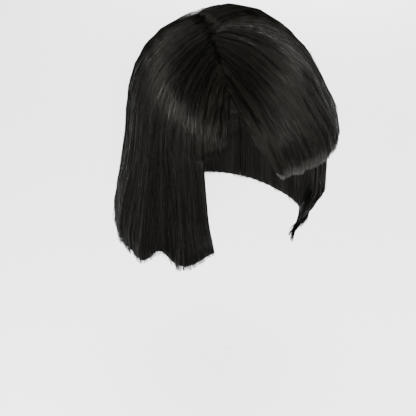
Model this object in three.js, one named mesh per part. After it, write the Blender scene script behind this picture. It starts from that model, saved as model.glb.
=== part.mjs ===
// A bob wig with a side-swept fringe, in the shape that it takes when it is worn.
// A thin cap carries five masses of straight hair, which all fall from one parting
// on the wearer's right.
// Lengths are millimetres. +Z is up, -Y is the way the face looks, +X is the wearer's left.
// The origin is the top of the cap's inside, where the crown of the head touches it.
import * as THREE from "three";

// The head that the cap is sewn for
const HEAD_WIDTH = 150;
const HEAD_DEPTH = 188;
const HEAD_DOME = 95; // from the crown down to the head's widest ring

// The cap
const CAP_WALL = 1.5;
const CAP_COLUMNS = 36;
const CAP_ROWS = 8;

// How far the hair stands off the head at its widest ring
const LIFT_TOP = 16;
const LIFT_RIGHT = 30;
const LIFT_LEFT = 19;
const LIFT_FRONT = 23;
const LIFT_BACK = 24;
const CROWN_SET_BACK = 12; // how far the top of the hair lies behind the top of the head

// The cut
const HAIR_LENGTH = 238; // from the top of the hair straight down to the tips

// Locks
const LOCK_COLUMNS = 3;
const LOCK_RIDGE = 1.6;
const RISE_LENGTH = 55; // from the parting to where the hair has its full lift
const RISE_START = -12; // puts some of that rise at the parting itself
const LOCK_SLOPE = 0.3; // of the ridge, by which a lock falls from its first ridge to its second
const GROOVE_START = 0.05; // of a lock's length, where the valleys beside it begin
const GROOVE_FULL = 0.5; // of a lock's length, where they are at their deepest
const SHORTEST_CUT = 0.3; // of a lock's line, which is never cut shorter
const CUT_STEPS = 24; // halvings that find where a lock is cut
const TIP_SHARE = 0.14; // of a lock's length, over which its tip thins
const TIP_THINNING = 0.6; // how much of the thickness the tip loses
const EDGE_ROUND = 6; // how far a free edge bends in towards the head
const EDGE_SHARE = 0.12; // of a mass's width, over which a free edge bends in
const EDGE_THINNING = 0.5; // how much of the thickness a free edge loses
const EDGE_RAMP = 0.2; // the fall over which an edge comes free

// The fringe swells out over the brow before its tips turn in
const SWELL = 8;
const SWELL_TURNS = { from: -120, full: -95, fade: -35, end: -5 };
const SWELL_FALLS = { from: 0.72, full: 0.95, fade: 1.06, end: 1.18 };

// Clearances
const SEAT_GAP = 0.8; // between the cap and the hair on it
const SEAM_GAP = 0.8; // between one mass of hair and the next
const PARTING_GAP = 1.6; // between the roots on the parting's two sides
const CROWN_WHORL = 2.5; // radius of the round end of the parting
const WHORL_START = 0.7; // of the parting's length, where it begins to widen to that
const PARTING_STEP = 0.02; // of the parting's length, over which its direction is read

const HAIR_COLOUR = 0x17140f;
const CAP_COLOUR = 0x0e0d0c;

// Places on the head are given by turn and fall. turn is in degrees, with 0 at the
// wearer's left, 90 behind, 180 at the right and -90 in front. fall is 0 at the top,
// 1 at the widest ring and 2 at the tips.

// How the hair spreads from its widest ring to its tips: flare is the share of its reach
// that it grows to, and curl is how far the tips turn in.
const HEM = [
  { turn: -90, flare: 1.0, curl: 30 },
  { turn: -46, flare: 1.03, curl: 38 },
  { turn: -20, flare: 1.03, curl: 9 },
  { turn: 20, flare: 1.03, curl: 4 },
  { turn: 90, flare: 1.08, curl: 2 },
  { turn: 130, flare: 1.16, curl: 0 },
  { turn: 160, flare: 1.2, curl: 0 },
  { turn: 189, flare: 1.17, curl: 0 },
  { turn: 198, flare: 1.0, curl: 0 },
  { turn: 212, flare: 0.97, curl: 2 },
  { turn: 224, flare: 0.97, curl: 20 },
  { turn: 270, flare: 1.0, curl: 30 },
];
const FLARE_FULL = 1.85; // the fall by which the flare is complete
const CURL_START = 1.5; // the fall at which the curl begins
const CURL_POWER = 1.5; // above 1, the curl gathers towards the tips

// The head's sections below its widest ring, as shares of its reach
const NAPE = [
  { fall: 0.0, share: 1.0 },
  { fall: 1.0, share: 1.0 },
  { fall: 1.35, share: 0.94 },
  { fall: 2.25, share: 0.9 },
];

// The cap's rim, all the way round
const RIM = [
  { turn: -90, fall: 0.63 },
  { turn: -52, fall: 0.78 },
  { turn: -22, fall: 1.06 },
  { turn: 10, fall: 1.14 },
  { turn: 50, fall: 1.26 },
  { turn: 90, fall: 1.34 },
  { turn: 130, fall: 1.26 },
  { turn: 170, fall: 1.14 },
  { turn: 202, fall: 1.06 },
  { turn: 216, fall: 0.92 },
  { turn: 232, fall: 0.66 },
  { turn: 245, fall: 0.62 },
  { turn: 270, fall: 0.63 },
];
const HANG_START = -0.05; // the fall below the rim at which the hair begins to thin
const HANG_SHARE = 0.3; // the fall below the rim by which it is a curtain

// The parting, from the forehead back to the crown, with the hair's thickness at its root
const PARTING = [
  { along: 0, turn: 232, fall: 0.628, root: 5 },
  { along: 0.27, turn: 226.6, fall: 0.457, root: 7 },
  { along: 0.6, turn: 208.4, fall: 0.26, root: 10 },
  { along: 0.83, turn: 175, fall: 0.17, root: 12 },
  { along: 1, turn: 140, fall: 0.2, root: 13 },
];

// Each mass of hair lies between guide locks, listed as its turn grows. root is a place
// on the line round the parting: 0 to 1 is its right side from the forehead to the
// crown, 1 to 2 is the crown's round end, and 2 to 3 is its left side back to the
// forehead. A lock bends towards one place and ends at another, and it is cut off where
// its fall reaches the cut. Neighbours share the guide lock that lies between them.
// stagger is how much the tips of a mass's locks differ in length, hang is its thickness
// below the cap, and an edge of a mass is free from the fall given for it.
const BETWEEN_FRINGE_AND_LEFT = { root: 2.38, bendTurn: -14, bendFall: 0.92, tipTurn: -54, tipFall: 2.03 };
const BETWEEN_LEFT_AND_BACK = { root: 1.9, bendTurn: 44, bendFall: 0.8, tipTurn: 44, tipFall: 2.0 };
const BETWEEN_BACK_AND_RIGHT = { root: 1.1, bendTurn: 146, bendFall: 0.8, tipTurn: 146, tipFall: 2.0 };
const BETWEEN_RIGHT_AND_TEMPLE = { root: 0.3, bendTurn: 211, bendFall: 0.8, tipTurn: 223, tipFall: 1.93 };

const MASSES = [
  {
    name: "hair_left",
    locks: 12,
    rows: 15,
    stagger: 4,
    hang: 13,
    startFreeFrom: 1.0,
    guides: [
      { ...BETWEEN_FRINGE_AND_LEFT, cut: 2.03 },
      { root: 2.27, bendTurn: -4, bendFall: 0.85, tipTurn: -18, tipFall: 2.0, cut: 2.0 },
      { root: 2.12, bendTurn: 18, bendFall: 0.8, tipTurn: 14, tipFall: 2.0, cut: 2.0 },
      { ...BETWEEN_LEFT_AND_BACK, cut: 2.0 },
    ],
  },
  {
    name: "hair_back",
    locks: 14,
    rows: 15,
    stagger: 4,
    hang: 14,
    guides: [
      { ...BETWEEN_LEFT_AND_BACK, cut: 2.0 },
      { root: 1.7, bendTurn: 76, bendFall: 0.8, tipTurn: 76, tipFall: 2.0, cut: 2.0 },
      { root: 1.4, bendTurn: 112, bendFall: 0.8, tipTurn: 112, tipFall: 2.0, cut: 2.0 },
      { ...BETWEEN_BACK_AND_RIGHT, cut: 2.0 },
    ],
  },
  {
    name: "hair_right",
    locks: 13,
    rows: 15,
    stagger: 4,
    hang: 13,
    endFreeFrom: 0.94,
    guides: [
      { ...BETWEEN_BACK_AND_RIGHT, cut: 2.0 },
      { root: 0.85, bendTurn: 168, bendFall: 0.82, tipTurn: 168, tipFall: 2.0, cut: 2.0 },
      { root: 0.62, bendTurn: 186, bendFall: 0.82, tipTurn: 187, tipFall: 2.0, cut: 2.0 },
      { root: 0.46, bendTurn: 203, bendFall: 0.8, tipTurn: 206, tipFall: 2.04, cut: 2.04 },
      { ...BETWEEN_RIGHT_AND_TEMPLE, cut: 1.93 },
    ],
  },
  {
    name: "temple_lock",
    locks: 3,
    rows: 9,
    stagger: 1,
    hang: 6,
    endFreeFrom: 0,
    guides: [
      { ...BETWEEN_RIGHT_AND_TEMPLE, cut: 1.0 },
      { root: 0.18, bendTurn: 224, bendFall: 0.75, tipTurn: 227, tipFall: 1.25, cut: 0.98 },
      { root: 0.0, bendTurn: 232, bendFall: 0.76, tipTurn: 232.6, tipFall: 1.05, cut: 0.93 },
    ],
  },
  {
    name: "fringe",
    locks: 10,
    rows: 13,
    stagger: 3,
    hang: 11,
    startFreeFrom: 0,
    guides: [
      { root: 3.0, bendTurn: 243, bendFall: 0.9, tipTurn: 261, tipFall: 1.125, cut: 1.125 },
      { root: 2.66, bendTurn: 249, bendFall: 0.66, tipTurn: 268, tipFall: 1.25, cut: 1.1 },
      { root: 2.54, bendTurn: 258, bendFall: 0.62, tipTurn: 281, tipFall: 1.26, cut: 1.075 },
      { root: 2.46, bendTurn: 276, bendFall: 0.64, tipTurn: 295, tipFall: 1.38, cut: 1.08 },
      { ...turned(BETWEEN_FRINGE_AND_LEFT, 360), cut: 1.12 },
    ],
  },
];

const CURTAIN_LENGTH = HAIR_LENGTH - LIFT_TOP - HEAD_DOME;
const CHART_UNIT = ((HEAD_WIDTH + HEAD_DEPTH) * Math.PI) / 8; // millimetres on the head's top
const radians = THREE.MathUtils.degToRad;
const smoothstep = THREE.MathUtils.smoothstep;

// The same guide lock with its turns counted one or more times round
function turned(guide, by) {
  return { ...guide, bendTurn: guide.bendTurn + by, tipTurn: guide.tipTurn + by };
}

// A smooth curve through one column of a table, read at x
function readTable(rows, key, column, x) {
  const last = rows.length - 1;
  let i = rows.findIndex((row) => row[key] > x) - 1;
  if (i < 0) i = x < rows[0][key] ? 0 : last - 1;
  const slope = (a, b) => (rows[b][column] - rows[a][column]) / (rows[b][key] - rows[a][key]);
  const slopeAt = (k) => slope(Math.max(k - 1, 0), Math.min(k + 1, last));
  const width = rows[i + 1][key] - rows[i][key];
  const s = THREE.MathUtils.clamp((x - rows[i][key]) / width, 0, 1);
  const s2 = s * s;
  const s3 = s2 * s;
  return (
    (2 * s3 - 3 * s2 + 1) * rows[i][column] +
    (s3 - 2 * s2 + s) * width * slopeAt(i) +
    (3 * s2 - 2 * s3) * rows[i + 1][column] +
    (s3 - s2) * width * slopeAt(i + 1)
  );
}

// A turn in degrees from -90 to 270
function wholeTurn(turn) {
  return THREE.MathUtils.euclideanModulo(THREE.MathUtils.radToDeg(turn) + 90, 360) - 90;
}

// 1 inside a span of values and 0 outside it, with soft ends
function window(value, span) {
  return smoothstep(value, span.from, span.full) * (1 - smoothstep(value, span.fade, span.end));
}

// The head's surface, grown outwards by a margin
function headPoint(turn, fall, margin) {
  const share = readTable(NAPE, "fall", "share", fall);
  const arc = (Math.min(fall, 1) * Math.PI) / 2;
  const out = Math.sin(arc);
  return new THREE.Vector3(
    ((HEAD_WIDTH / 2) * share + margin) * out * Math.cos(turn),
    ((HEAD_DEPTH / 2) * share + margin) * out * Math.sin(turn),
    margin - (margin + HEAD_DOME) * (1 - Math.cos(arc)) - Math.max(fall - 1, 0) * CURTAIN_LENGTH,
  );
}

// The outside of the hair at its full lift
function hairPoint(turn, fall) {
  const c = Math.cos(turn);
  const s = Math.sin(turn);
  const side = HEAD_WIDTH / 2 + (c > 0 ? LIFT_LEFT : LIFT_RIGHT);
  const end = HEAD_DEPTH / 2 + (s > 0 ? LIFT_BACK : LIFT_FRONT);
  const arc = (Math.min(fall, 1) * Math.PI) / 2;
  const degrees = wholeTurn(turn);
  const flare = readTable(HEM, "turn", "flare", degrees) - 1;
  const spread = 1 + flare * THREE.MathUtils.clamp((fall - 1) / (FLARE_FULL - 1), 0, 1);
  const curl = readTable(HEM, "turn", "curl", degrees) * smoothstep(fall, CURL_START, 2) ** CURL_POWER;
  const swellTurn = degrees > 180 ? degrees - 360 : degrees;
  const swell = SWELL * window(swellTurn, SWELL_TURNS) * window(fall, SWELL_FALLS);
  const out = Math.sin(arc) * spread;
  return new THREE.Vector3(
    (side * out - curl + swell) * c,
    (end * out - curl + swell) * s + CROWN_SET_BACK * (1 - Math.min(fall, 1)),
    LIFT_TOP - (LIFT_TOP + HEAD_DOME) * (1 - Math.cos(arc)) - Math.max(fall - 1, 0) * CURTAIN_LENGTH,
  );
}

// The hair is laid out on a flat chart: a place's angle is its turn, and its distance
// from the middle is its fall.
function chartPoint(degrees, fall) {
  return new THREE.Vector2(fall * Math.cos(radians(degrees)), fall * Math.sin(radians(degrees)));
}

// The parting's middle line on the chart
function partingPoint(along) {
  const rows = PARTING.map((row) => ({ along: row.along, place: chartPoint(row.turn, row.fall) }));
  const read = (axis) => {
    const column = rows.map((row) => ({ along: row.along, value: row.place[axis] }));
    return readTable(column, "along", "value", along);
  };
  return new THREE.Vector2(read("x"), read("y"));
}

// How far along the parting a root lies
function rootAlong(root) {
  return root <= 1 ? root : root >= 2 ? 3 - root : 1;
}

// A root's place on the line round the parting
function rootPoint(root) {
  const along = rootAlong(root);
  const ahead = Math.min(along + PARTING_STEP, 1);
  const way = partingPoint(ahead).sub(partingPoint(ahead - 2 * PARTING_STEP)).normalize();
  const rightward = new THREE.Vector2(-way.y, way.x);
  const halfGap = PARTING_GAP / 2;
  const aside = (halfGap + (CROWN_WHORL - halfGap) * smoothstep(along, WHORL_START, 1)) / CHART_UNIT;
  const swing = THREE.MathUtils.clamp(root - 1, 0, 1) * Math.PI;
  return partingPoint(along)
    .addScaledVector(rightward, aside * Math.cos(swing))
    .addScaledVector(way, aside * Math.sin(swing));
}

// A place on a lock that leaves its root, bends towards one place and ends at another
function lockPoint(lock, way) {
  return new THREE.Vector2()
    .addScaledVector(lock.root, (1 - way) ** 2)
    .addScaledVector(lock.bend, 2 * way * (1 - way))
    .addScaledVector(lock.tip, way ** 2);
}

// The direction of a lock at a place along it
function lockHeading(lock, way) {
  return new THREE.Vector2()
    .addScaledVector(lock.root, way - 1)
    .addScaledVector(lock.bend, 1 - 2 * way)
    .addScaledVector(lock.tip, way)
    .normalize();
}

// The lock at a share of a mass's width, with how much of its line is left by the cut
function lockAt(mass, share, cutLonger) {
  const last = mass.guides.length - 1;
  const rows = mass.guides.map((guide, i) => ({ at: i / last, ...guide }));
  const read = (column) => readTable(rows, "at", column, share);
  const root = read("root");
  const tipFall = read("tipFall") + cutLonger;
  const lock = {
    along: rootAlong(root),
    root: rootPoint(root),
    bend: chartPoint(read("bendTurn"), read("bendFall")),
    tip: chartPoint(read("tipTurn"), tipFall),
    length: 1,
  };
  const cut = read("cut") + cutLonger;
  let low = SHORTEST_CUT;
  let high = 1;
  for (let i = 0; i < CUT_STEPS && cut < tipFall; i++) {
    const middle = (low + high) / 2;
    if (lockPoint(lock, middle).length() < cut) low = middle;
    else high = middle;
  }
  lock.length = cut < tipFall ? low : 1;
  return lock;
}

// A repeatable number from -0.5 to 0.5
function chance(number) {
  const value = Math.sin(number * 12.9898) * 43758.5453;
  return value - Math.floor(value) - 0.5;
}

// How much of a mass's edges is near a place: 1 on a free edge and 0 away from it
function freeEdge(mass, share, fall) {
  const near = (distance, from) =>
    (1 - smoothstep(distance, 0, EDGE_SHARE)) * smoothstep(fall, from, from + EDGE_RAMP);
  const start = mass.startFreeFrom === undefined ? 0 : near(share, mass.startFreeFrom);
  const end = mass.endFreeFrom === undefined ? 0 : near(1 - share, mass.endFreeFrom);
  return Math.max(start, end);
}

// The columns of a mass: one lock after another, each with a valley and ridges
function massColumns(mass, salt) {
  const count = mass.locks * LOCK_COLUMNS;
  return Array.from({ length: count + 1 }, (_, i) => {
    const inner = i > 0 && i < count;
    const valley = i % LOCK_COLUMNS === 0;
    const ofLock = mass.stagger * chance(Math.floor(i / LOCK_COLUMNS) + salt);
    const longer = inner && !valley ? ofLock : -mass.stagger / 2;
    return {
      share: i / count,
      lock: lockAt(mass, i / count, longer / CURTAIN_LENGTH),
      ridge: valley ? 1 : LOCK_SLOPE * ((i % LOCK_COLUMNS) - 1),
      inset: inner ? 0 : ((i === 0 ? 1 : -1) * SEAM_GAP) / 2,
    };
  });
}

// One point of a mass of hair. way runs from root to tip, and inside is false on the
// outer face and true on the face towards the head.
function massPoint(mass, column, way, inside) {
  const onLine = way * column.lock.length;
  const place = lockPoint(column.lock, onLine);
  const heading = lockHeading(column.lock, onLine);
  const reach = place.distanceTo(column.lock.root) * CHART_UNIT;
  const inset = (column.inset / CHART_UNIT) * Math.max(place.length(), 1);
  place.add(new THREE.Vector2(-heading.y, heading.x).multiplyScalar(inset));
  const turn = Math.atan2(place.y, place.x);
  const fall = place.length();
  const seat = headPoint(turn, fall, CAP_WALL + SEAT_GAP);
  const outwards = hairPoint(turn, fall).sub(seat);
  const space = outwards.length();
  outwards.normalize();
  const edge = freeEdge(mass, column.share, fall);
  const root = readTable(PARTING, "along", "root", column.lock.along);
  const rise = smoothstep(reach, RISE_START, RISE_LENGTH);
  const groove = LOCK_RIDGE * column.ridge * smoothstep(way, GROOVE_START, GROOVE_FULL);
  const height = root + (space - root) * rise - groove - EDGE_ROUND * edge * rise;
  const rim = readTable(RIM, "turn", "fall", wholeTurn(turn));
  const hanging = smoothstep(fall, rim + HANG_START, rim + HANG_SHARE);
  const curtain = height + (Math.min(mass.hang, height) - height) * hanging;
  const tip = TIP_THINNING * smoothstep(way, 1 - TIP_SHARE, 1);
  const thickness = curtain * (1 - tip) * (1 - EDGE_THINNING * edge * hanging);
  return seat.addScaledVector(outwards, inside ? height - thickness : height);
}

// A closed shell over a grid. point(column, row, inside) gives both of its faces, and
// a ring's last column is its first.
function shell(columns, rows, ring, point) {
  const across = ring ? columns : columns + 1;
  const vertices = [];
  for (const inside of [false, true])
    for (let j = 0; j <= rows; j++)
      for (let i = 0; i < across; i++) vertices.push(...point(i, j, inside).toArray());
  const outer = (i, j) => j * across + (i % across);
  const inner = (i, j) => (rows + 1) * across + outer(i, j);
  const faces = [];
  const quad = (a, b, c, d) => faces.push(a, c, b, b, c, d);
  for (let j = 0; j < rows; j++)
    for (let i = 0; i < columns; i++) {
      quad(outer(i, j), outer(i + 1, j), outer(i, j + 1), outer(i + 1, j + 1));
      quad(inner(i + 1, j), inner(i, j), inner(i + 1, j + 1), inner(i, j + 1));
    }
  for (let i = 0; i < columns; i++) {
    if (!ring) quad(inner(i, 0), inner(i + 1, 0), outer(i, 0), outer(i + 1, 0));
    quad(outer(i, rows), outer(i + 1, rows), inner(i, rows), inner(i + 1, rows));
  }
  for (let j = 0; j < rows && !ring; j++) {
    quad(inner(0, j), outer(0, j), inner(0, j + 1), outer(0, j + 1));
    quad(outer(columns, j), inner(columns, j), outer(columns, j + 1), inner(columns, j + 1));
  }
  const geometry = new THREE.BufferGeometry();
  geometry.setAttribute("position", new THREE.Float32BufferAttribute(vertices, 3));
  geometry.setIndex(faces);
  return geometry;
}

// The cap: a thin dome from the crown down to its rim
function capGeometry() {
  const point = (i, j, inside) => {
    const degrees = (i / CAP_COLUMNS) * 360 - 90;
    const fall = readTable(RIM, "turn", "fall", degrees) * (j / CAP_ROWS);
    return headPoint(radians(degrees), fall, inside ? 0 : CAP_WALL);
  };
  return shell(CAP_COLUMNS, CAP_ROWS, true, point);
}

// One mass of hair
function massGeometry(mass, salt) {
  const columns = massColumns(mass, salt);
  const point = (i, j, inside) => massPoint(mass, columns[i], j / mass.rows, inside);
  return shell(columns.length - 1, mass.rows, false, point);
}

function named(name, geometry, colour, roughness) {
  geometry.computeVertexNormals();
  const material = new THREE.MeshStandardMaterial({ color: colour, roughness, metalness: 0 });
  const mesh = new THREE.Mesh(geometry, material);
  mesh.name = name;
  return mesh;
}

const wig = new THREE.Group();
wig.name = "bob_wig";
wig.add(named("cap", capGeometry(), CAP_COLOUR, 0.9));
MASSES.forEach((mass, i) => wig.add(named(mass.name, massGeometry(mass, 100 * i), HAIR_COLOUR, 0.45)));

export default wig;
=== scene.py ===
# Dresses a bob wig: strands and their backing for each mass of hair, a net finish for
# the cap, a pale studio and the camera. Lengths are metres, in the frame of the wig:
# +Z is up, -Y is the way the face looks, +X is the wearer's left, and the origin is
# the top of the cap's inside.
import math

import bpy
import numpy as np
from mathutils import Matrix, Vector


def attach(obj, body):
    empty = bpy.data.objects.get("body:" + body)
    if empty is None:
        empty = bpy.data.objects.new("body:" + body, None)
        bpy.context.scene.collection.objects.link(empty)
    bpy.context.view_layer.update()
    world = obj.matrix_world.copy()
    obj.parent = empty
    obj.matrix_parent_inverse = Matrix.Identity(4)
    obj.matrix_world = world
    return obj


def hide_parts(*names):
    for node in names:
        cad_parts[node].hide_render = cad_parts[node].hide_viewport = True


bl_info = {
    "name": "Bob Wig",
    "version": (1, 0, 0),
    "blender": (4, 5, 0),
    "location": "View3D > Sidebar > Wig",
    "description": "Dresses a bob wig with strands of hair, a net cap and a studio",
    "category": "Object",
}

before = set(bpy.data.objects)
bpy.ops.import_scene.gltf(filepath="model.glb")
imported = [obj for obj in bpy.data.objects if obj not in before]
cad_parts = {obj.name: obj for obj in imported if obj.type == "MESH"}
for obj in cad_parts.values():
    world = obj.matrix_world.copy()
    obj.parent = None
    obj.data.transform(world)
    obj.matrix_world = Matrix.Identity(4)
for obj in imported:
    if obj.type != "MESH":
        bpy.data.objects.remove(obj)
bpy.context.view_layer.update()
MM = 0.001

# Places on the head are given by turn and fall. turn is in degrees, with 0 at the
# wearer's left, 90 behind, 180 at the right and -90 in front. fall is 0 at the top,
# 1 at the head's widest ring and 2 at the tips.

# How the hair spreads from its widest ring to its tips: flare is the share of its
# reach that it grows to, and curl is how far the tips turn in, in millimetres.
HEM = {
    "turn": [-90, -46, -20, 20, 90, 130, 160, 189, 198, 212, 224, 270],
    "flare": [1.0, 1.03, 1.03, 1.03, 1.08, 1.16, 1.2, 1.17, 1.0, 0.97, 0.97, 1.0],
    "curl": [30, 38, 9, 4, 2, 0, 0, 0, 0, 2, 20, 30],
}

# The head's sections below its widest ring, as shares of its reach
NAPE = {"fall": [0.0, 1.0, 1.35, 2.25], "share": [1.0, 1.0, 0.94, 0.9]}

# The cap's rim, all the way round
RIM = {
    "turn": [-90, -52, -22, 10, 50, 90, 130, 170, 202, 216, 232, 245, 270],
    "fall": [0.63, 0.78, 1.06, 1.14, 1.26, 1.34, 1.26, 1.14, 1.06, 0.92, 0.66, 0.62, 0.63],
}

# The parting, from the forehead back to the crown, with the hair's thickness at its
# root in millimetres
PARTING = {
    "along": [0, 0.27, 0.6, 0.83, 1],
    "turn": [232, 226.6, 208.4, 175, 140],
    "fall": [0.628, 0.457, 0.26, 0.17, 0.2],
    "root": [5, 7, 10, 12, 13],
}

# Where the fringe swells out over the brow
SWELL_TURNS = (-120, -95, -35, -5)
SWELL_FALLS = (0.72, 0.95, 1.06, 1.18)

# How the hair's outside ends: the fall at which its flare is full, and where its curl
# starts and how quickly it grows
FLARE_FULL = 1.85
CURL_START = 1.5
CURL_POWER = 1.5

# The parting's roots: the step along it that gives its direction, and where the round
# end at the crown begins to widen
PARTING_STEP = 0.02
WHORL_START = 0.7

# A lock ends at its cut, found by halving a span that starts at the shortest cut
SHORTEST_CUT = 0.3
CUT_STEPS = 24

# A free edge: the share of a mass's width that it takes, the fall over which it
# begins, and how much thinner the hair is there
EDGE_SHARE = 0.12
EDGE_RAMP = 0.2
EDGE_THINS_BY = 0.5

# The valleys between locks: where on the way they begin and are full, and their form
VALLEY_START, VALLEY_FULL = 0.05, 0.5
VALLEY_DEPTH = 1.6
VALLEY_POWER = 1.5

# The hair hangs free from a little above the cap's rim to a little below it, and thins
# towards its tips
HANG_ABOVE_RIM, HANG_BELOW_RIM = 0.05, 0.3
TIP_THINS_FROM = 0.86
TIP_THINS_BY = 0.6

# A depth in metres past any thickness of hair, which puts a place on its inside
INSIDE = 1.0

# How the strands of a mass differ. Steps crowd towards the root by a power, and the
# strands that line the inside start part of the way down.
CROWDING = 1.25
LINING_START = 0.5
TRESS_UNEVEN = 0.28
TRESS_LIFT = 0.6
DEPTH_POWER = 1.5
ROLL_HALF_WAVES, ROLL_MORE_WAVES = 5, 3
ROLL_FULL = 0.3

# How the tips differ: the longest, the spread below it and its power, and the lock's own
RAGGED_LONGEST = 0.25
RAGGED_SPREAD = 1.2
RAGGED_POWER = 3
RAGGED_LOCK = 0.5

# How far strands waver and are shifted on the chart, and where they are drawn together
WAVER = 0.0022
WAVER_SHIFT = 0.0026
WAVER_HALF_WAVES, WAVER_MORE_WAVES = 1.5, 2.5
WAVER_FULL = 0.5
SCATTER_GONE = 0.12
PULL_LEAST, PULL_SPREAD = 0.1, 0.45
PULL_START, PULL_FULL = 0.05, 0.7

# A strand's tip tapers, its ends are painted pale as painted light showing through thin tips, and its
# radius and tone differ
TAPER_START = 0.92
TIP_LIGHT_START = 0.93
THINNEST, THICKNESS_SPREAD = 0.65, 0.7
OWN_TONE = 0.4

# The columns of the guide locks: a root on the line round the parting, a turn and fall
# that the lock bends towards, a turn and fall that it ends at, and the fall of its cut
GUIDE_COLUMNS = ("root", "bend_turn", "bend_fall", "tip_turn", "tip_fall", "cut")
FRINGE_TO_LEFT = (2.38, -14, 0.92, -54, 2.03)
LEFT_TO_BACK = (1.9, 44, 0.8, 44, 2.0)
BACK_TO_RIGHT = (1.1, 146, 0.8, 146, 2.0)
RIGHT_TO_TEMPLE = (0.3, 211, 0.8, 223, 1.93)

# The masses of hair. guides are spread evenly over a mass's width, hang is its thickness
# in millimetres below the cap, free is the fall from which its first and last edges are
# free, ragged is how much of the ragged cut it has, backing is the share of the way that
# its body reaches, trim is how much longer than its solid it is cut in millimetres, pale
# is how pale its ends are painted, as painted light showing through thin tips, and
# strands and locks are how many it has.
MASSES = {
    "hair_left": {
        "guides": [
            FRINGE_TO_LEFT + (2.03,),
            (2.27, -4, 0.85, -18, 2.0, 2.0),
            (2.12, 18, 0.8, 14, 2.0, 2.0),
            LEFT_TO_BACK + (2.0,),
        ],
        "hang": 13,
        "free": (1.0, None),
        "ragged": 1.0,
        "backing": 0.995,
        "trim": {"share": [0, 1], "longer": [1, 1]},
        "pale": 0.1,
        "strands": 2250,
        "locks": 17,
    },
    "hair_back": {
        "guides": [
            LEFT_TO_BACK + (2.0,),
            (1.7, 76, 0.8, 76, 2.0, 2.0),
            (1.4, 112, 0.8, 112, 2.0, 2.0),
            BACK_TO_RIGHT + (2.0,),
        ],
        "hang": 14,
        "free": (None, None),
        "ragged": 1.0,
        "backing": 0.995,
        "trim": {"share": [0, 1], "longer": [1, 1]},
        "pale": 0.1,
        "strands": 2250,
        "locks": 19,
    },
    "hair_right": {
        "guides": [
            BACK_TO_RIGHT + (2.0,),
            (0.85, 168, 0.82, 168, 2.0, 2.0),
            (0.62, 186, 0.82, 187, 2.0, 2.0),
            (0.46, 203, 0.8, 206, 2.04, 2.04),
            RIGHT_TO_TEMPLE + (1.93,),
        ],
        "hang": 13,
        "free": (None, 0.94),
        "ragged": 1.0,
        "backing": 0.995,
        "trim": {"share": [0, 0.4, 0.53, 0.6, 0.68, 0.9, 1], "longer": [1, 2, 6, -9, 0, 2, 4]},
        "pale": 0.1,
        "strands": 2250,
        "locks": 18,
    },
    "temple_lock": {
        "guides": [
            RIGHT_TO_TEMPLE + (1.0,),
            (0.18, 224, 0.75, 227, 1.25, 0.98),
            (0.0, 232, 0.76, 232.6, 1.05, 0.93),
        ],
        "hang": 6,
        "free": (None, 0),
        "ragged": 0.8,
        "backing": 0.985,
        "trim": {"share": [0, 1], "longer": [0, 0]},
        "pale": 0.0,
        "strands": 700,
        "locks": 4,
    },
    "fringe": {
        "guides": [
            (3.0, 243, 0.9, 261, 1.125, 1.125),
            (2.66, 249, 0.66, 268, 1.25, 1.1),
            (2.54, 258, 0.62, 281, 1.26, 1.075),
            (2.46, 276, 0.64, 295, 1.38, 1.08),
            (2.38, 346, 0.92, 306, 2.03, 1.12),
        ],
        "hang": 11,
        "free": (0, None),
        "ragged": 0.9,
        "backing": 0.97,
        "trim": {"share": [0, 1], "longer": [0, 0]},
        "pale": 0.9,
        "strands": 2250,
        "locks": 12,
    },
}

# Spans of a loose hair's way over which it stands off
ALL_ALONG = (0.1, 0.5, 0.8, 1.0)
LOWER_HALF = (0.5, 0.8, 0.9, 1.0)
LOWER_END = (0.6, 0.85, 0.92, 1.0)

# Hair that has come loose: its mass, the shares of that mass's width that it lies
# between, how many hairs, how far they stand off in millimetres and over which span,
# how much longer than the cut they are in millimetres, and how far they stray on the
# chart
LOOSE_COLUMNS = ("mass", "first", "last", "hairs", "stands_off", "span", "longer", "stray")
LOOSE = [
    ("hair_left", 0.03, 0.97, 70, 2.4, ALL_ALONG, -2, 0.010),
    ("hair_back", 0.03, 0.97, 70, 2.4, ALL_ALONG, -2, 0.010),
    ("hair_right", 0.03, 0.97, 80, 2.4, ALL_ALONG, -2, 0.010),
    ("fringe", 0.03, 0.97, 50, 1.6, ALL_ALONG, 1, 0.008),
    ("temple_lock", 0.93, 1.0, 26, 0.3, ALL_ALONG, -12, 0.022),
    ("hair_right", 0.22, 0.36, 90, 7.0, LOWER_END, 1, 0.004),
    ("hair_right", 0.8, 1.0, 50, 0.8, LOWER_HALF, 0, 0.006),
]
LOOSE_STEPS = 13
LOOSE_START = 0.02
LONGER_LEAST, LONGER_SPREAD = 0.3, 1.4
STRAY_START = 0.1
LOOSE_TAPER_START, LOOSE_TAPER_BY = 0.6, 0.6

# Where the lights stand, in metres, with the side of each square and its power in watts
LIGHT_AIM = (0, 0, -0.1)
LIGHT_COLUMNS = ("name", "place", "side", "power")
LIGHTS = [
    ("key light", (-1.25, -2.15, 0.6), 0.7, 430),
    ("top light", (0.3, 0.8, 2.4), 2.0, 60),
    ("rear light", (1.5, 1.9, 0.7), 1.0, 70),
]
WORLD_STRENGTH = 0.4


def length(name, text, default, digits=4):
    """A length in metres for the sidebar."""
    return bpy.props.FloatProperty(
        name=name,
        description=text,
        default=default,
        min=0.0,
        subtype="DISTANCE",
        unit="LENGTH",
        precision=digits,
    )


def factor(name, text, default):
    """A plain share for the sidebar."""
    return bpy.props.FloatProperty(
        name=name, description=text, default=default, min=0.0, max=1.0, subtype="FACTOR"
    )


def whole(name, text, default, least):
    """A whole number for the sidebar."""
    return bpy.props.IntProperty(name=name, description=text, default=default, min=least)


def colour(name, text, default):
    """A colour for the sidebar."""
    return bpy.props.FloatVectorProperty(
        name=name, description=text, default=default, min=0.0, max=1.0, size=3, subtype="COLOR"
    )


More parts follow.
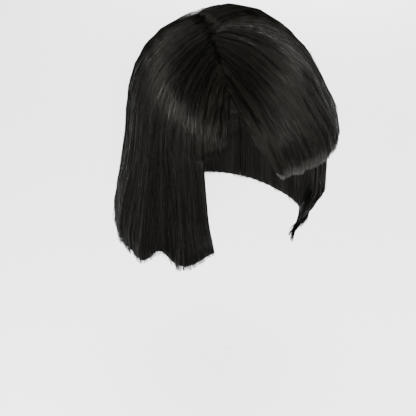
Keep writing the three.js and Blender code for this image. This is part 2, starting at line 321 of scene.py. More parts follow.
class WigForm(bpy.types.PropertyGroup):
    """The sizes of the head and of the hair's outside"""

    head_width: length("Head width", "Width of the head that the cap is sewn for", 0.150)
    head_depth: length("Head depth", "Depth of that head from brow to back", 0.188)
    head_dome: length("Dome height", "From the crown down to the head's widest ring", 0.095)
    cap_wall: length("Cap wall", "Thickness of the cap", 0.0015)
    seat_gap: length("Seat gap", "Between the cap and the hair on it", 0.0008)
    lift_top: length("Lift on top", "How far the hair stands off the crown", 0.016)
    lift_right: length("Lift at the right", "How far the hair stands off the right side", 0.030)
    lift_left: length("Lift at the left", "How far the hair stands off the left side", 0.019)
    lift_front: length("Lift in front", "How far the hair stands off the brow", 0.023)
    lift_back: length("Lift behind", "How far the hair stands off the back", 0.024)
    crown_set_back: length("Crown set back", "How far the hair's top lies behind the head's", 0.012)
    hair_length: length("Hair length", "From the top of the hair straight down to the tips", 0.238)
    swell: length("Fringe swell", "How far the fringe swells out over the brow", 0.008)
    rise_length: length("Rise length", "From the parting to the hair's full lift", 0.055)
    rise_start: length("Rise at the root", "How much of that rise lies before the root", 0.012)
    edge_round: length("Edge round", "How far a free edge bends in towards the head", 0.006)
    parting_gap: length("Parting gap", "Between the roots on the parting's two sides", 0.0016)
    crown_whorl: length("Crown whorl", "Radius of the round end of the parting", 0.0025)


class WigStrands(bpy.types.PropertyGroup):
    """The sizes of the strands and of the body under them"""

    radius: length("Strand radius", "Radius of one modelled strand", 0.00028, 5)
    tip_radius: length("Tip radius", "Radius of a strand's tip", 0.00008, 5)
    loose_radius: length("Loose radius", "Radius of one loose hair", 0.00014, 5)
    depth: length("Strand depth", "How deep under the surface strands lie", 0.0028)
    backing: length("Backing depth", "How far the backing lies under the surface", 0.0016)
    ridge: length("Lock ridge", "How deep the valleys between locks are", 0.0016)
    ragged: length("Ragged cut", "How much strand tips differ in length", 0.009)
    roll: length("Roll", "How far strands rise and sink along their way", 0.0015, 5)
    fly: length("Fly", "How far the outermost strands stand off the surface", 0.0009)
    root_scatter: bpy.props.FloatProperty(
        name="Root scatter",
        description="How far roots stray over the parting, on the flat chart of the head",
        default=0.011,
        min=0.0,
    )
    lining: factor("Lining share", "The share of strands that line the inside", 0.16)
    tresses: whole("Tresses", "Tresses in one lock", 4, 1)
    segments: whole("Segments", "Segments along one strand", 14, 4)


class WigColours(bpy.types.PropertyGroup):
    """The colours of the hair, the cap and the floor"""

    hair_dark: colour("Hair, dark", "The darkest strands", (0.0006, 0.0006, 0.0005))
    hair_warm: colour("Hair, warm", "The warmest strands", (0.0042, 0.0034, 0.0023))
    # Painted light: the paler colour of the cut ends stands for light showing through thin tips
    hair_tip_light: colour("Hair, cut ends", "Fine ends at the cut", (0.013, 0.012, 0.0105))
    cap_net: colour("Cap net", "Threads of the net cap", (0.0025, 0.0025, 0.0025))
    cap_weft: colour("Cap weft", "Sewn rows on the cap", (0.006, 0.0055, 0.005))
    floor: colour("Floor", "The studio floor and backdrop", (0.93, 0.93, 0.93))


def read_table(table, key, column, x):
    """A smooth curve through one column of a table: cubic pieces whose slope at each row is
    that of the line between the rows on its two sides, held at its ends."""
    keys = np.array(table[key], float)
    values = np.array(table[column], float)
    last = len(keys) - 1
    before = np.maximum(np.arange(last + 1) - 1, 0)
    after = np.minimum(np.arange(last + 1) + 1, last)
    slopes = (values[after] - values[before]) / (keys[after] - keys[before])
    i = np.clip(np.searchsorted(keys, x, side="right") - 1, 0, last - 1)
    width = keys[i + 1] - keys[i]
    s = np.clip((x - keys[i]) / width, 0, 1)
    return (
        (2 * s**3 - 3 * s**2 + 1) * values[i]
        + (s**3 - 2 * s**2 + s) * width * slopes[i]
        + (3 * s**2 - 2 * s**3) * values[i + 1]
        + (s**3 - s**2) * width * slopes[i + 1]
    )


def smoothstep(x, low, high):
    """0 below low, 1 above high, and 3t squared less 2t cubed between them."""
    t = np.clip((x - low) / (high - low), 0, 1)
    return t * t * (3 - 2 * t)


def trimmed(mass, share):
    """How much longer than its solid a mass is cut at each share of its width, in metres."""
    return read_table(mass["trim"], "share", "longer", share) * MM


def window(x, span):
    """1 inside a span of four values and 0 outside it, with soft ends."""
    return smoothstep(x, span[0], span[1]) * (1 - smoothstep(x, span[2], span[3]))


def whole_turn(turn):
    """A turn in radians as degrees from -90 to 270."""
    return np.mod(np.degrees(turn) + 90, 360) - 90


def curtain_length(form):
    """The height of the hair below the head's widest ring."""
    return form.hair_length - form.lift_top - form.head_dome


def dome_height(fall, top, form):
    """The height of a ring: a quarter of a circle's fall from the top down to the widest
    ring, and straight down below it."""
    arc = np.minimum(fall, 1) * np.pi / 2
    below = np.maximum(fall - 1, 0) * curtain_length(form)
    return top - (top + form.head_dome) * (1 - np.cos(arc)) - below


def head_point(turn, fall, margin, form):
    """The head's surface grown by a margin: an ellipsoid down to its widest ring, and below
    that a tube whose sections are shares of that ring."""
    share = read_table(NAPE, "fall", "share", fall)
    out = np.sin(np.minimum(fall, 1) * np.pi / 2)
    side = (form.head_width / 2 * share + margin) * out
    end = (form.head_depth / 2 * share + margin) * out
    return np.stack([side * np.cos(turn), end * np.sin(turn), dome_height(fall, margin, form)], axis=-1)


def hair_point(turn, fall, form):
    """The outside of the hair at its full lift: a dome of four quarter ellipses whose
    middle moves back towards its top, over a curtain that flares and curls by the HEM
    table, with the fringe's swell added."""
    c, s = np.cos(turn), np.sin(turn)
    side = form.head_width / 2 + np.where(c > 0, form.lift_left, form.lift_right)
    end = form.head_depth / 2 + np.where(s > 0, form.lift_back, form.lift_front)
    degrees = whole_turn(turn)
    flare = read_table(HEM, "turn", "flare", degrees) - 1
    spread = 1 + flare * np.clip((fall - 1) / (FLARE_FULL - 1), 0, 1)
    curl = read_table(HEM, "turn", "curl", degrees) * MM * smoothstep(fall, CURL_START, 2) ** CURL_POWER
    from_left = np.where(degrees > 180, degrees - 360, degrees)
    swell = form.swell * window(from_left, SWELL_TURNS) * window(fall, SWELL_FALLS)
    out = np.sin(np.minimum(fall, 1) * np.pi / 2) * spread
    back = form.crown_set_back * (1 - np.minimum(fall, 1))
    x = (side * out - curl + swell) * c
    y = (end * out - curl + swell) * s + back
    return np.stack([x, y, dome_height(fall, form.lift_top, form)], axis=-1)


def chart_point(degrees, fall):
    """A place on the flat chart of the head: its angle is its turn, its distance its fall."""
    turn = np.radians(degrees)
    return np.stack([fall * np.cos(turn), fall * np.sin(turn)], axis=-1)


def chart_unit(form):
    """Metres on the head's top for one unit of the chart."""
    return (form.head_width + form.head_depth) * np.pi / 8


def parting_point(along):
    """The parting's middle line on the chart."""
    places = chart_point(np.array(PARTING["turn"], float), np.array(PARTING["fall"], float))
    axes = {"along": PARTING["along"], "x": places[:, 0], "y": places[:, 1]}
    return np.stack([read_table(axes, "along", "x", along), read_table(axes, "along", "y", along)], axis=-1)


def root_along(root):
    """How far along the parting a root lies."""
    return np.where(root <= 1, root, np.where(root >= 2, 3 - root, 1.0))


def root_point(root, form):
    """A root's place on the line round the parting: beside its middle line along its two
    sides, and on half a circle round its crown end."""
    along = root_along(root)
    ahead = np.minimum(along + PARTING_STEP, 1)
    way = parting_point(ahead) - parting_point(ahead - 2 * PARTING_STEP)
    way /= np.linalg.norm(way, axis=-1, keepdims=True)
    rightward = np.stack([-way[..., 1], way[..., 0]], axis=-1)
    half_gap = form.parting_gap / 2
    widened = half_gap + (form.crown_whorl - half_gap) * smoothstep(along, WHORL_START, 1)
    aside = widened / chart_unit(form)
    swing = np.clip(root - 1, 0, 1) * np.pi
    return (
        parting_point(along)
        + rightward * (aside * np.cos(swing))[..., None]
        + way * (aside * np.sin(swing))[..., None]
    )


class Locks:
    """The lines of many locks of one mass on the chart, one for each share of its width.
    Each is a curve of second degree from its root, bending to one place and ending at
    another, cut off where its fall reaches the cut."""

    def __init__(self, mass, share, longer, form):
        guides = np.array(mass["guides"], float)
        table = {"at": np.linspace(0, 1, len(guides))}
        table.update(zip(GUIDE_COLUMNS, guides.T))

        def read(column):
            return read_table(table, "at", column, share)

        longer = longer / curtain_length(form)
        tip_fall = read("tip_fall") + longer
        root = read("root")
        self.along = root_along(root)
        self.root = root_point(root, form)
        self.bend = chart_point(read("bend_turn"), read("bend_fall"))
        self.tip = chart_point(read("tip_turn"), tip_fall)
        cut = read("cut") + longer
        low = np.full(share.shape, SHORTEST_CUT)
        high = np.ones(share.shape)
        for _ in range(CUT_STEPS):
            middle = (low + high) / 2
            short = np.linalg.norm(self.place(middle[:, None])[:, 0], axis=-1) < cut
            low = np.where(short, middle, low)
            high = np.where(short, high, middle)
        self.length = np.where(cut < tip_fall, low, 1.0)

    def place(self, way):
        """The chart places at ways along the lines."""
        way = way[..., None]
        root, bend, tip = self.root[:, None], self.bend[:, None], self.tip[:, None]
        return root * (1 - way) ** 2 + bend * 2 * way * (1 - way) + tip * way**2


def free_edge(mass, share, fall):
    """1 on a mass's free edge and 0 away from it."""
    near = np.zeros(np.broadcast(share, fall).shape)
    for distance, free_from in ((share, mass["free"][0]), (1 - share, mass["free"][1])):
        if free_from is not None:
            begun = smoothstep(fall, free_from, free_from + EDGE_RAMP)
            near = np.maximum(near, (1 - smoothstep(distance, 0, EDGE_SHARE)) * begun)
    return near


def hair_grid(mass, share, way, form, deep=0.0, groove=0.0, longer=0.0, aside=0.0):
    """Places of hair for each share across a mass and each way along it. A place is the
    head's surface plus the hair's height along the line to its outside, and the height
    grows from that at the parting to the full lift. deep is metres under the outside,
    and never past the inside; aside moves a place over the chart."""
    share = np.asarray(share, float)
    locks = Locks(mass, share, np.broadcast_to(longer, share.shape), form)
    on_line = way * locks.length[:, None]
    place = locks.place(on_line) + aside
    reach = np.linalg.norm(place - locks.root[:, None], axis=-1) * chart_unit(form)
    turn = np.arctan2(place[..., 1], place[..., 0])
    fall = np.linalg.norm(place, axis=-1)
    seat = head_point(turn, fall, form.cap_wall + form.seat_gap, form)
    outwards = hair_point(turn, fall, form) - seat
    space = np.linalg.norm(outwards, axis=-1)
    outwards /= space[..., None]
    edge = free_edge(mass, share[:, None], fall)
    root = (read_table(PARTING, "along", "root", locks.along) * MM)[:, None]
    rise = smoothstep(reach, -form.rise_start, form.rise_length)
    valley = groove * smoothstep(way, VALLEY_START, VALLEY_FULL)
    height = root + (space - root) * rise - valley - form.edge_round * edge * rise
    rim = read_table(RIM, "turn", "fall", whole_turn(turn))
    hanging = smoothstep(fall, rim - HANG_ABOVE_RIM, rim + HANG_BELOW_RIM)
    curtain = height + (np.minimum(mass["hang"] * MM, height) - height) * hanging
    thin_tip = TIP_THINS_BY * smoothstep(way, TIP_THINS_FROM, 1)
    thick = curtain * (1 - thin_tip) * (1 - EDGE_THINS_BY * edge * hanging)
    level = np.maximum(height - deep, height - thick)
    return seat + outwards * level[..., None], outwards


def mesh_piece(name, vertices, faces):
    """A smooth mesh from an array of places and one of each face's corners, put in by
    foreach_set."""
    mesh = bpy.data.meshes.new(name)
    mesh.vertices.add(len(vertices))
    mesh.vertices.foreach_set("co", np.asarray(vertices, np.float32).ravel())
    corners = np.asarray(faces, np.int32)
    mesh.loops.add(corners.size)
    mesh.loops.foreach_set("vertex_index", corners.ravel())
    mesh.polygons.add(len(corners))
    mesh.polygons.foreach_set("loop_start", np.arange(0, corners.size, corners.shape[1], dtype=np.int32))
    mesh.polygons.foreach_set("use_smooth", np.full(len(corners), True))
    mesh.update(calc_edges=True)
    mesh.validate()
    piece = bpy.data.objects.new(name, mesh)
    bpy.context.collection.objects.link(piece)
    return piece


def point_attribute(piece, name, values):
    """Gives each vertex of a piece a number."""
    attribute = piece.data.attributes.new(name, "FLOAT", "POINT")
    attribute.data.foreach_set("value", np.asarray(values, np.float32).ravel())


def unit(vectors):
    """Vectors scaled to length 1."""
    nearly_none = 1e-12
    return vectors / (np.linalg.norm(vectors, axis=-1, keepdims=True) + nearly_none)


def tubes(paths, outwards, radius):
    """Three-sided tubes along many paths at once. paths and outwards are strands by steps
    by three, and radius strands by steps. Each ring is three points at a radius round its
    path: path + radius * (cosine * sideways + sine * outwards), turned so that one side of
    the tube faces away from the head. Each end is closed."""
    count, steps = paths.shape[:2]
    along = unit(np.gradient(paths, axis=1))
    side = unit(np.cross(along, outwards))
    up = np.cross(side, along)
    angles = np.radians([30, 150, 270])
    across = np.cos(angles)[:, None] * side[:, :, None]
    away = np.sin(angles)[:, None] * up[:, :, None]
    rings = paths[:, :, None] + radius[:, :, None, None] * (across + away)
    first = np.arange(count)[:, None] * steps * 3 + np.arange(steps - 1)[None] * 3
    sides = []
    for k in range(3):
        a, b = first + k, first + (k + 1) % 3
        sides += [np.stack([a, a + 3, b], -1), np.stack([b, a + 3, b + 3], -1)]
    faces = np.concatenate([quad.reshape(-1, 3) for quad in sides])
    base = np.arange(count) * steps * 3
    end = base + (steps - 1) * 3
    root_caps = np.stack([base, base + 1, base + 2], -1)
    tip_caps = np.stack([end, end + 2, end + 1], -1)
    return rings.reshape(-1, 3), np.concatenate([faces, root_caps, tip_caps])


def draws(seed):
    """Repeatable random numbers."""
    return np.random.default_rng(seed)


def lock_valley(lock, strands):
    """How deep the hair dips between locks: the ridge * a depth * the distance from a lock's
    middle, raised to a power."""
    from_middle = np.abs(lock - np.floor(lock) - 0.5)
    return strands.ridge * VALLEY_DEPTH * from_middle**VALLEY_POWER


def tresses_across(random, share, tresses):
    """The tress that each strand belongs to, and the share at that tress's middle. Tresses
    are evenly wide, with their edges moved at random."""
    moved = random.normal(0, TRESS_UNEVEN, tresses - 1)
    edges = np.sort(np.clip((np.arange(1, tresses) + moved) / tresses, 0, 1))
    tress = np.searchsorted(edges, share)
    edges = np.concatenate([[0], edges, [1]])
    return tress, (edges[tress] + edges[tress + 1]) / 2


def strand_depths(random, way, tress, tresses, strands):
    """How deep each strand lies along its way: its own depth + its tress's lift + a roll
    that is half its own wave and half its tress's."""
    count = len(way)
    lift = (random.random(tresses) - 0.5)[tress] * strands.depth * TRESS_LIFT
    deep = strands.depth * random.random(count) ** DEPTH_POWER - strands.fly + lift
    start = random.random(count) * 2 * np.pi
    tress_start = (random.random(tresses) * 2 * np.pi)[tress]
    half_waves = ROLL_HALF_WAVES + ROLL_MORE_WAVES * random.random((count, 1))
    own = np.sin(start[:, None] + way * np.pi * half_waves)
    shared = np.sin(tress_start[:, None] + way * np.pi * ROLL_HALF_WAVES)
    return deep[:, None] + strands.roll * (own + shared) / 2 * smoothstep(way, 0, ROLL_FULL)


def strand_cuts(random, mass, share, strands):
    """How much longer than its solid each strand is cut: ragged from strand to strand and
    from lock to lock + trimmed by the mass's table."""
    own = RAGGED_LONGEST - RAGGED_SPREAD * random.random(len(share)) ** RAGGED_POWER
    of_locks = RAGGED_LOCK * (random.random(mass["locks"] + 1) - 0.5)
    lock = np.floor(share * mass["locks"]).astype(int)
    return strands.ragged * mass["ragged"] * (own + of_locks[lock]) + trimmed(mass, share)


def strand_wander(random, way, strands):
    """How far each strand strays over the chart: a slow wave in one direction that grows
    from the root, and a scatter of the roots over the parting that dies out."""
    count = len(way)
    start = random.random((count, 1)) * 2 * np.pi
    half_waves = WAVER_HALF_WAVES + WAVER_MORE_WAVES * random.random((count, 1))
    shift = random.normal(0, WAVER_SHIFT, (count, 1))
    waver = WAVER * np.sin(start + half_waves * way * np.pi) + shift
    bearing = random.random((count, 1)) * 2 * np.pi
    aside = np.stack([waver * np.cos(bearing), waver * np.sin(bearing)], -1)
    aside = aside * smoothstep(way, 0, WAVER_FULL)[..., None]
    scatter = random.normal(0, strands.root_scatter, (count, 1, 2))
    return aside, scatter * (1 - smoothstep(way, 0, SCATTER_GONE))[..., None]


def strand_piece(name, mass, seed, form, strands):
    """The strands of one mass. Their shares are spread evenly over its width. Each lies at
    its own depth and is cut at its own length, wavers a little sideways, and is drawn
    towards the middle strand of its tress, more and more on its way to the tip: place =
    (1 - pull) * own place + pull * place on the middle strand."""
    random = draws(seed)
    count = mass["strands"]
    steps = strands.segments + 1
    tresses = mass["locks"] * strands.tresses
    way = np.broadcast_to(np.linspace(0, 1, steps)[None] ** CROWDING, (count, steps))
    share = (np.arange(count) + random.random(count)) / count
    lining = (random.random(count) < strands.lining)[:, None]
    way = np.where(lining, LINING_START + (1 - LINING_START) * way, way)

    tress, middle = tresses_across(random, share, tresses)
    deep = strand_depths(random, way, tress, tresses, strands)
    settings = {
        "deep": np.where(lining, INSIDE, deep),
        "groove": lock_valley(share * mass["locks"], strands)[:, None],
        "longer": strand_cuts(random, mass, share, strands),
    }
    aside, scatter = strand_wander(random, way, strands)
    own, outwards = hair_grid(mass, share, way, form, aside=aside + scatter, **settings)
    shared, _ = hair_grid(mass, middle, way, form, aside=scatter, **settings)
    most_pull = PULL_LEAST + PULL_SPREAD * random.random(count)
    pull = most_pull[:, None] * smoothstep(way, PULL_START, PULL_FULL)
    paths = own + (shared - own) * pull[..., None]

    taper = 1 - smoothstep(way, TAPER_START, 1)
    radius = strands.tip_radius + (strands.radius - strands.tip_radius) * taper
    radius = radius * (THINNEST + THICKNESS_SPREAD * random.random(count))[:, None]
    vertices, faces = tubes(paths, outwards, radius)
    piece = mesh_piece(name, vertices, faces)
    own_tone = OWN_TONE * random.random(count)
    tone = own_tone + (1 - OWN_TONE) * random.random(tresses)[tress]
    # Painted light: how far each end is mixed towards the pale tip colour, for light showing through thin
    # tips
    pale = mass["pale"] * smoothstep(way, TIP_LIGHT_START, 1)
    point_attribute(piece, "tone", np.repeat(tone, steps * 3))
    point_attribute(piece, "pale", np.repeat(pale.ravel(), 3))
    return piece


def loose_piece(name, seed, form, strands):
    """Fine hairs that have come loose from the masses, by the LOOSE table: place = the
    mass's own surface + standing off * a window along the way, strayed sideways."""
    random = draws(seed)
    vertices, faces, tones = [], [], []
    placed = 0
    for values in LOOSE:
        row = dict(zip(LOOSE_COLUMNS, values))
        count = row["hairs"]
        way = np.broadcast_to(np.linspace(LOOSE_START, 1, LOOSE_STEPS)[None], (count, LOOSE_STEPS))
        share = row["first"] + (row["last"] - row["first"]) * random.random(count)
        off = row["stands_off"] * MM * random.random((count, 1)) * window(way, row["span"])
        longer = row["longer"] * MM * (LONGER_LEAST + LONGER_SPREAD * random.random(count))
        stray = random.normal(0, row["stray"], (count, 1, 2))
        stray = stray * smoothstep(way, STRAY_START, 1)[..., None]
        mass = MASSES[row["mass"]]
        paths, outwards = hair_grid(mass, share, way, form, deep=-off, longer=longer, aside=stray)
        radius = strands.loose_radius * (1 - LOOSE_TAPER_BY * smoothstep(way, LOOSE_TAPER_START, 1))
        points, sides = tubes(paths, outwards, radius)
        vertices.append(points)
        faces.append(sides + placed)
        placed += len(points)
        tones.append(np.repeat(random.random(count), LOOSE_STEPS * 3))
    piece = mesh_piece(name, np.concatenate(vertices), np.concatenate(faces))
    point_attribute(piece, "tone", np.concatenate(tones))
    return piece


def backing_piece(name, mass, form, strands):
    """The dense body of hair under the strands: a closed shell whose outside lies a little
    under the hair's and whose inside is the mass's own, with a fine ridge for each lock."""
    columns_a_lock, rows = 6, 40
    first_share = 0.004
    columns = mass["locks"] * columns_a_lock
    share = np.linspace(first_share, 1 - first_share, columns + 1)
    way = np.linspace(0, mass["backing"], rows + 1)[None]
    groove = lock_valley(share * mass["locks"], strands)[:, None]
    longer = trimmed(mass, share)
    outer, _ = hair_grid(mass, share, way, form, deep=strands.backing, groove=groove, longer=longer)
    inner, _ = hair_grid(mass, share, way, form, deep=INSIDE, groove=groove, longer=longer)
    outer, inner = outer.transpose(1, 0, 2), inner.transpose(1, 0, 2)
    vertices = np.concatenate([outer.reshape(-1, 3), inner.reshape(-1, 3)])
    across = columns + 1
    half = across * (rows + 1)
    j, i = np.meshgrid(np.arange(rows), np.arange(columns), indexing="ij")
    a = (j * across + i).ravel()
    outside = np.stack([a, a + across, a + across + 1, a + 1], -1)
    inside = np.stack([a, a + 1, a + across + 1, a + across], -1) + half
    top = np.arange(columns)
    bottom = top + rows * across
    left = np.arange(rows) * across
    right = left + columns
    walls = [
        np.stack([top + half, top, top + 1, top + 1 + half], -1),
        np.stack([bottom, bottom + half, bottom + 1 + half, bottom + 1], -1),
        np.stack([left, left + half, left + across + half, left + across], -1),
        np.stack([right + half, right, right + across, right + across + half], -1),
    ]
    piece = mesh_piece(name, vertices, np.concatenate([outside, inside] + walls))
    ways = np.broadcast_to(way.T, (rows + 1, across)).ravel()
    point_attribute(piece, "way", np.concatenate([ways, ways]))
    locks = np.broadcast_to(share[None] * mass["locks"], (rows + 1, across)).ravel()
    point_attribute(piece, "across", np.concatenate([locks, locks]))
    return piece


class Value:
    """A shader socket that adds, takes away, multiplies, divides and raises by Math nodes."""

    def __init__(self, finish, socket):
        self.finish = finish
        self.socket = socket

    def math(self, operation, a, b):
        return self.finish.add("ShaderNodeMath", {"operation": operation}, a, b)

    def __add__(self, other):
        return self.math("ADD", self, other)

    def __radd__(self, other):
        return self.math("ADD", other, self)

    def __sub__(self, other):
        return self.math("SUBTRACT", self, other)

    def __rsub__(self, other):
        return self.math("SUBTRACT", other, self)

    def __mul__(self, other):
        return self.math("MULTIPLY", self, other)

    def __rmul__(self, other):
        return self.math("MULTIPLY", other, self)

    def __truediv__(self, other):
        return self.math("DIVIDE", self, other)

    def __rtruediv__(self, other):
        return self.math("DIVIDE", other, self)

    def __pow__(self, other):
        return self.math("POWER", self, other)

    def __rpow__(self, other):
        return self.math("POWER", other, self)


class Finish:
    """A node material. node() makes a node from its type, its settings and its inputs, and
    add() gives one of its outputs as a value."""

    def __init__(self, name):
        self.material = bpy.data.materials.new(name)
        self.material.use_nodes = True
        self.tree = self.material.node_tree
        self.shader = self.tree.nodes["Principled BSDF"]

    def node(self, kind, settings, *values, **named):
        node = self.tree.nodes.new(kind)
        for key, setting in settings.items():
            setattr(node, key, setting)
        for k, value in list(enumerate(values)) + list(named.items()):
            key = k.replace("_", " ") if isinstance(k, str) else k
            self.put(node.inputs[key], value)
        return node

    def add(self, kind, settings, *values, out=0, **named):
        return Value(self, self.node(kind, settings, *values, **named).outputs[out])

    def put(self, socket, value):
        if isinstance(value, Value):
            self.tree.links.new(value.socket, socket)
        elif value is not None:
            socket.default_value = value

    def mix(self, share, a, b):
        """A colour between two others by a share."""
        node = self.tree.nodes.new("ShaderNodeMix")
        node.data_type = "RGBA"
        self.put(node.inputs[0], share)
        self.put(node.inputs[6], a)
        self.put(node.inputs[7], b)
        return Value(self, node.outputs[2])

    def attribute(self, name):
        """A number that each point of the piece carries."""
        return self.add("ShaderNodeAttribute", {"attribute_name": name}, out=2)

    def noise(self, place, scale, detail):
        """Soft noise over a place."""
        return self.add("ShaderNodeTexNoise", {}, Vector=place, Scale=scale, Detail=detail)

    def place(self):
        """The piece's own coordinates."""
        return self.add("ShaderNodeTexCoord", {}, out=3)

    def ramp(self, value, low, high):
        """0 at low, 1 at high, and a straight line between them."""
        return self.add("ShaderNodeMapRange", {}, value, low, high, 0.0, 1.0)

    def bump(self, height, strength, distance):
        return self.add("ShaderNodeBump", {}, Height=height, Strength=strength, Distance=distance)

    def surface(self, **sockets):
        for key, value in sockets.items():
            self.put(self.shader.inputs[key.replace("_", " ")], value)
        return self.material


def opaque(rgb):
    return (*rgb, 1.0)


def strand_finish(colours):
    """Glossy off-black strands. Most are nearly black, a few are warm brown, the cut ends
    are painted paler as painted light showing through thin tips, and the gloss differs
    from strand to strand."""
    finish = Finish("hair strands")
    smoothest, rougher_by = 0.15, 0.4
    few_are_warm = 5.0
    tone = finish.attribute("tone")
    base = finish.mix(tone**few_are_warm, opaque(colours.hair_dark), opaque(colours.hair_warm))
    # Painted light: the ends are mixed towards the pale tip colour, for light showing through thin tips
    base = finish.mix(finish.attribute("pale"), base, opaque(colours.hair_tip_light))
    return finish.surface(
        Base_Color=base,
        Roughness=smoothest + rougher_by * tone,
        Specular_IOR_Level=0.048,
        Specular_Tint=(1.0, 0.96, 0.88, 1.0),
    )


def backing_finish(colours):
    """The body of hair under the strands: fine streaks that run with the hair, in colour,
    gloss and height."""
    finish = Finish("hair body")
    streaks_a_lock, streaks_a_length = 9.0, 1.5
    fine_a_lock, fine_a_length, fine_layer = 34.0, 3.0, 2.0
    smoothest, rougher_by = 0.36, 0.2
    few_are_warm = 3.0
    across = finish.attribute("across")
    way = finish.attribute("way")
    streak_place = finish.add(
        "ShaderNodeCombineXYZ", {}, across * streaks_a_lock, way * streaks_a_length, 0.0
    )
    fine_place = finish.add(
        "ShaderNodeCombineXYZ", {}, across * fine_a_lock, way * fine_a_length, fine_layer
    )
    streaks = finish.noise(streak_place, 1.0, 3.0)
    fine = finish.noise(fine_place, 1.0, 2.0)
    base = finish.mix(streaks**few_are_warm, opaque(colours.hair_dark), opaque(colours.hair_warm))
    return finish.surface(
        Base_Color=base,
        Roughness=smoothest + rougher_by * streaks,
        Normal=finish.bump(streaks + fine, 0.7, 0.0008),
        Specular_IOR_Level=0.03,
    )


def cap_finish(colours):
    """A matt stretch net with sewn rows of hair round it, in bands down from the crown."""
    finish = Finish("cap net")
    half_pitch = 0.011 / 2
    weft_from, weft_full = 0.62, 0.8
    cells_a_metre = 520.0
    thread_edge, thread_gone = 0.03, 0.14
    thread_shade, thread_height = 0.5, 0.35
    place = finish.place()
    height = finish.add("ShaderNodeSeparateXYZ", {}, place, out=2)
    rows = finish.add("ShaderNodeMath", {"operation": "PINGPONG"}, height, half_pitch) / half_pitch
    weft = finish.ramp(rows, weft_from, weft_full)
    net = finish.add(
        "ShaderNodeTexVoronoi", {"feature": "DISTANCE_TO_EDGE"}, Vector=place, Scale=cells_a_metre
    )
    thread = 1.0 - finish.ramp(net, thread_edge, thread_gone)
    base = finish.mix(weft, opaque(colours.cap_net), opaque(colours.cap_weft))
    base = finish.mix(thread * thread_shade, base, opaque(colours.cap_weft))
    return finish.surface(
        Base_Color=base,
        Roughness=0.82,
        Normal=finish.bump(thread * thread_height + weft, 0.8, 0.0009),
        Specular_IOR_Level=0.06,
    )


def floor_finish(colours):
    """A plain pale floor with a trace of mottling and a faint glow."""
    finish = Finish("studio floor")
    darker = 0.985
    cloud = finish.noise(finish.place(), 3.0, 2.0)
    shade = tuple(darker * part for part in colours.floor)
    return finish.surface(
        Base_Color=finish.mix(cloud, opaque(colours.floor), opaque(shade)),
        Roughness=0.9,
        Specular_IOR_Level=0.1,
        Emission_Color=opaque(colours.floor),
        Emission_Strength=0.18,
    )


def finish_named(name, make, colours):
    """The finish of that name, made once."""
    return bpy.data.materials.get(name) or make(colours)


def dress_mass(name, seed):
    """Puts the backing and strands of one mass in the place of its solid."""
    scene = bpy.context.scene
    form, strands, colours = scene.wig_form, scene.wig_strands, scene.wig_colours
    mass = MASSES[name]
    backing = backing_piece(name + "_body", mass, form, strands)
    backing.data.materials.append(finish_named("hair body", backing_finish, colours))
    locks = strand_piece(name + "_strands", mass, seed, form, strands)
    locks.data.materials.append(finish_named("hair strands", strand_finish, colours))
    for piece in (backing, locks):
        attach(piece, "root")
    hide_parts(name)


class WIG_OT_hair_left(bpy.types.Operator):
    """Dress the hair on the wearer's left"""

    bl_idname = "wig.hair_left"
    bl_label = "Hair, left"

    def execute(self, context):
        dress_mass("hair_left", 11)
        return {"FINISHED"}


class WIG_OT_hair_back(bpy.types.Operator):
    """Dress the hair behind"""

    bl_idname = "wig.hair_back"
    bl_label = "Hair, back"

    def execute(self, context):
        dress_mass("hair_back", 12)
        return {"FINISHED"}


class WIG_OT_hair_right(bpy.types.Operator):
    """Dress the hair on the wearer's right and its temple lock"""

    bl_idname = "wig.hair_right"
    bl_label = "Hair, right"

    def execute(self, context):
        dress_mass("hair_right", 13)
        dress_mass("temple_lock", 14)
        return {"FINISHED"}


class WIG_OT_fringe(bpy.types.Operator):
    """Dress the side-swept fringe"""

    bl_idname = "wig.fringe"
    bl_label = "Fringe"

    def execute(self, context):
        dress_mass("fringe", 15)
        return {"FINISHED"}


class WIG_OT_loose(bpy.types.Operator):
    """Add the hairs that have come loose"""

    bl_idname = "wig.loose"
    bl_label = "Loose hairs"

    def execute(self, context):
        scene = context.scene
        piece = loose_piece("loose_hairs", 21, scene.wig_form, scene.wig_strands)
        piece.data.materials.append(finish_named("hair strands", strand_finish, scene.wig_colours))
        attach(piece, "root")
        return {"FINISHED"}


class WIG_OT_cap(bpy.types.Operator):
    """Give the cap its net and its sewn rows"""

    bl_idname = "wig.cap"
    bl_label = "Cap"

    def execute(self, context):
        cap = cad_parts["cap"]
        cap.data.materials.clear()
        cap.data.materials.append(finish_named("cap net", cap_finish, context.scene.wig_colours))
        return {"FINISHED"}


def area_light(name, place, side, power):
    """A soft square light that looks at the middle of the wig."""
    data = bpy.data.lights.new(name, "AREA")
    data.shape = "SQUARE"
    data.size = side
    data.energy = power
    lamp = bpy.data.objects.new(name, data)
    bpy.context.collection.objects.link(lamp)
    lamp.location = place
    lamp.rotation_euler = (Vector(LIGHT_AIM) - Vector(place)).to_track_quat("-Z", "Y").to_euler()


def studio_camera():
    """The camera at the photograph's angle: 30 degrees to the wearer's right and 31 above,
    moved over its own picture so that the wig stands where the photograph has it."""
    azimuth, elevation = math.radians(-30), math.radians(31)
    distance = 0.756
    focal_pixels, picture_pixels, sensor = 700, 416, 36
    aim = Vector((0, 0, -0.130))
    across, upward = -0.024, -0.0678
    level = math.cos(elevation)
    back = Vector((math.sin(azimuth) * level, -math.cos(azimuth) * level, math.sin(elevation)))
    right = Vector((math.cos(azimuth), math.sin(azimuth), 0))
    up = back.cross(right)
    data = bpy.data.cameras.new("studio camera")
    data.sensor_width = sensor
    data.lens = focal_pixels / picture_pixels * sensor
    data.clip_start, data.clip_end = 0.01, 50
    camera = bpy.data.objects.new("studio camera", data)
    bpy.context.collection.objects.link(camera)
    axes = Matrix((right, up, back)).transposed().to_4x4()
    place = aim + right * across + up * upward + back * distance
    camera.matrix_world = Matrix.Translation(place) @ axes
    bpy.context.scene.camera = camera


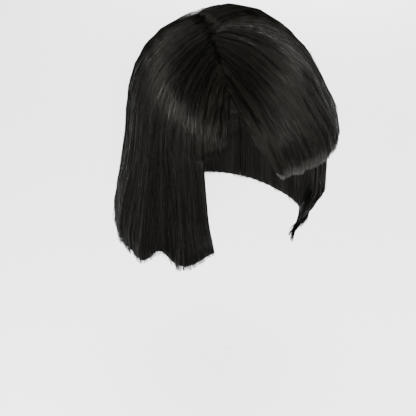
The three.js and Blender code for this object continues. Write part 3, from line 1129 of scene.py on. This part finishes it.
def floor_piece(colours):
    """A round pale floor that curves up into a backdrop: a profile turned round the wig."""
    low = -0.42
    flat, bend, height = 3.0, 1.5, 3.5
    level_rings = [0.001, 0.8, 1.8, flat]
    arc = np.linspace(0, np.pi / 2, 14)[1:]
    radius = np.concatenate([level_rings, flat + bend * np.sin(arc), [flat + bend]])
    level = np.concatenate([[low] * len(level_rings), low + bend * (1 - np.cos(arc)), [low + height]])
    turns = np.radians(np.arange(0, 360, 5))
    x = radius[:, None] * np.cos(turns)
    y = radius[:, None] * np.sin(turns)
    z = np.broadcast_to(level[:, None], x.shape)
    vertices = np.stack([x, y, z], -1).reshape(-1, 3)
    count = len(turns)
    j, i = np.meshgrid(np.arange(len(radius) - 1), np.arange(count), indexing="ij")
    here, beside = j * count + i, j * count + (i + 1) % count
    quads = np.stack([here, here + count, beside + count, beside], -1).reshape(-1, 4)
    floor = mesh_piece("studio_floor", vertices, quads)
    floor.data.materials.append(finish_named("studio floor", floor_finish, colours))


class WIG_OT_stage(bpy.types.Operator):
    """Set up the floor, the lights and the camera"""

    bl_idname = "wig.stage"
    bl_label = "Studio"

    def execute(self, context):
        floor_piece(context.scene.wig_colours)
        world = bpy.data.worlds.new("studio")
        world.use_nodes = True
        background = world.node_tree.nodes["Background"]
        background.inputs["Color"].default_value = (1, 1, 1, 1)
        background.inputs["Strength"].default_value = WORLD_STRENGTH
        context.scene.world = world
        for row in LIGHTS:
            area_light(**dict(zip(LIGHT_COLUMNS, row)))
        studio_camera()
        return {"FINISHED"}


OPERATORS = (
    WIG_OT_cap,
    WIG_OT_hair_back,
    WIG_OT_hair_left,
    WIG_OT_hair_right,
    WIG_OT_fringe,
    WIG_OT_loose,
    WIG_OT_stage,
)


class WIG_PT_panel(bpy.types.Panel):
    """Lists the wig's sizes and its pieces"""

    bl_idname = "WIG_PT_panel"
    bl_label = "Bob wig"
    bl_space_type = "VIEW_3D"
    bl_region_type = "UI"
    bl_category = "Wig"

    def draw(self, context):
        scene = context.scene
        for group in (scene.wig_form, scene.wig_strands, scene.wig_colours):
            box = self.layout.box()
            for name in group.bl_rna.properties.keys():
                if name not in ("rna_type", "name"):
                    box.prop(group, name)
        for operator in OPERATORS:
            self.layout.operator(operator.bl_idname)


CLASSES = (WigForm, WigStrands, WigColours, *OPERATORS, WIG_PT_panel)


def register():
    for item in CLASSES:
        bpy.utils.register_class(item)
    bpy.types.Scene.wig_form = bpy.props.PointerProperty(type=WigForm)
    bpy.types.Scene.wig_strands = bpy.props.PointerProperty(type=WigStrands)
    bpy.types.Scene.wig_colours = bpy.props.PointerProperty(type=WigColours)


def unregister():
    del bpy.types.Scene.wig_colours
    del bpy.types.Scene.wig_strands
    del bpy.types.Scene.wig_form
    for item in reversed(CLASSES):
        bpy.utils.unregister_class(item)


def main():
    register()
    bpy.ops.wig.stage()
    bpy.ops.wig.cap()
    bpy.ops.wig.hair_back()
    bpy.ops.wig.hair_left()
    bpy.ops.wig.hair_right()
    bpy.ops.wig.fringe()
    bpy.ops.wig.loose()


if __name__ == "__main__":
    main()
